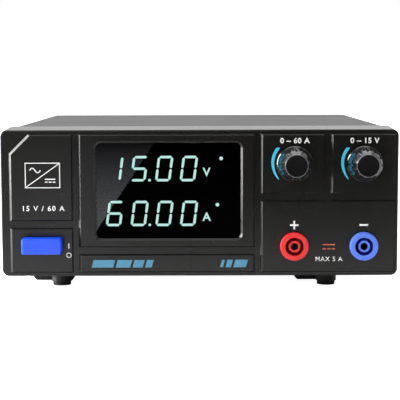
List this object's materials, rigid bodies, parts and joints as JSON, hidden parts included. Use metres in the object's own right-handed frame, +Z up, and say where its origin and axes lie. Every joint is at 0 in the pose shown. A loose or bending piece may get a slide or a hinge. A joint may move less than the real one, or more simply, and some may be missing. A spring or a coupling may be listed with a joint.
{
  "type": "bench power supply",
  "caption": "Desktop switching power supply: flared plastic front with display, push switch, two rotary encoders and front sockets, sheet case, rear studs, fan and mains inlet.",
  "frame": {"origin": "centre of the bounding box's footprint, on the surface that the feet stand on", "axes": "+Z up, front panel towards -Y, +X to the right seen from the front"},
  "size_m": [0.2236, 0.2832, 0.0924],
  "materials": {
    "panel_plastic": "fine matt moulding",
    "smoked_window": "polished, smoked",
    "black_plastic": "matt",
    "board_laminate": "solder mask",
    "blue_plastic": "satin",
    "red_plastic": "satin",
    "knob_plastic": "satin",
    "plated_steel": "zinc plated",
    "black_steel": "black oxide",
    "painted_sheet": "fine texture paint",
    "zinc_sheet": "zinc coated",
    "black_rubber": "matt",
    "chrome_wire": "bright",
    "plated_brass": "nickel plated",
    "copper": "bare copper",
    "ferrite": "matt",
    "winding_tape": "polyester tape",
    "winding_wire": "enamelled",
    "capacitor_sleeve": "shrink sleeve",
    "bare_aluminium": "extruded",
    "lead_insulation": "satin"
  },
  "bodies": {
    "case": {"bezel_screws": "plated_steel", "board_screws": "plated_steel", "board_standoffs": "plated_steel", "bottom_chassis": "zinc_sheet", "busbars": "copper", "control_board": "board_laminate", "cover_screws": "black_steel", "current_encoder": "black_plastic", "display_lens": "smoked_window", "display_module": "black_plastic", "encoder_nuts": "plated_steel", "fan_guard": "chrome_wire", "fan_housing": "black_plastic", "fan_screws": "plated_steel", "foot_screws": "plated_steel", "front_bezel": "panel_plastic", "front_brace": "zinc_sheet", "front_foot_pads": "black_rubber", "heatsinks": "bare_aluminium", "inlet_pins": "plated_brass", "jack_nuts": "black_plastic", "left_foot": "black_plastic", "leg_pins": "plated_steel", "main_board": "board_laminate", "mains_inlet": "black_plastic", "negative_contact": "plated_brass", "negative_insulator": "black_plastic", "negative_jack": "blue_plastic", "output_capacitors": "capacitor_sleeve", "output_choke": "winding_wire", "output_studs": "plated_brass", "positive_contact": "plated_brass", "positive_insulator": "red_plastic", "positive_jack": "red_plastic", "power_switch": "black_plastic", "power_transistors": "black_plastic", "primary_capacitors": "capacitor_sleeve", "rear_feet": "black_rubber", "rear_panel": "painted_sheet", "rear_screws": "black_steel", "right_foot": "black_plastic", "socket_leads": "lead_insulation", "stud_nuts": "plated_steel", "top_cover": "painted_sheet", "transformer_core": "ferrite", "transformer_winding": "winding_tape", "voltage_encoder": "black_plastic"},
    "power_button": {"power_button": "blue_plastic"},
    "current_rotor": {"current_rotor": "black_plastic"},
    "current_knob": {"current_knob": "knob_plastic", "current_knob_cap": "knob_plastic", "current_shaft": "plated_steel"},
    "voltage_rotor": {"voltage_rotor": "black_plastic"},
    "voltage_knob": {"voltage_knob": "knob_plastic", "voltage_knob_cap": "knob_plastic", "voltage_shaft": "plated_steel"},
    "left_tilt_leg": {"left_tilt_leg": "black_plastic"},
    "right_tilt_leg": {"right_tilt_leg": "black_plastic"},
    "fan_rotor": {"fan_rotor": "black_plastic"}
  },
  "joints": [
    {"name": "power_button_push", "type": "slide", "parent": "case", "child": "power_button", "axis": [0, 1, 0], "range_m": [0, 0.003], "stiffness_N_per_m": 200, "springref_m": -0.002},
    {"name": "current_knob_turn", "type": "hinge", "parent": "case", "child": "current_rotor", "pos_m": [0.0524, -0.12543, 0.07255], "axis": [0, 1, 0], "continuous": true},
    {"name": "current_knob_push", "type": "slide", "parent": "current_rotor", "child": "current_knob", "axis": [0, 1, 0], "range_m": [0, 0.0005], "stiffness_N_per_m": 1000, "springref_m": -0.001},
    {"name": "voltage_knob_turn", "type": "hinge", "parent": "case", "child": "voltage_rotor", "pos_m": [0.0909, -0.12543, 0.07255], "axis": [0, 1, 0], "continuous": true},
    {"name": "voltage_knob_push", "type": "slide", "parent": "voltage_rotor", "child": "voltage_knob", "axis": [0, 1, 0], "range_m": [0, 0.0005], "stiffness_N_per_m": 1000, "springref_m": -0.001},
    {"name": "left_tilt_leg_fold", "type": "hinge", "parent": "case", "child": "left_tilt_leg", "pos_m": [-0.0765, -0.07548, 0.0034], "axis": [0, -1, 0], "range_deg": [0, 95]},
    {"name": "right_tilt_leg_fold", "type": "hinge", "parent": "case", "child": "right_tilt_leg", "pos_m": [0.0775, -0.07548, 0.0034], "axis": [0, -1, 0], "range_deg": [0, 95]},
    {"name": "fan_spin", "type": "hinge", "parent": "case", "child": "fan_rotor", "pos_m": [-0.073, 0.08503, 0.057], "axis": [0, 1, 0], "continuous": true}
  ]
}
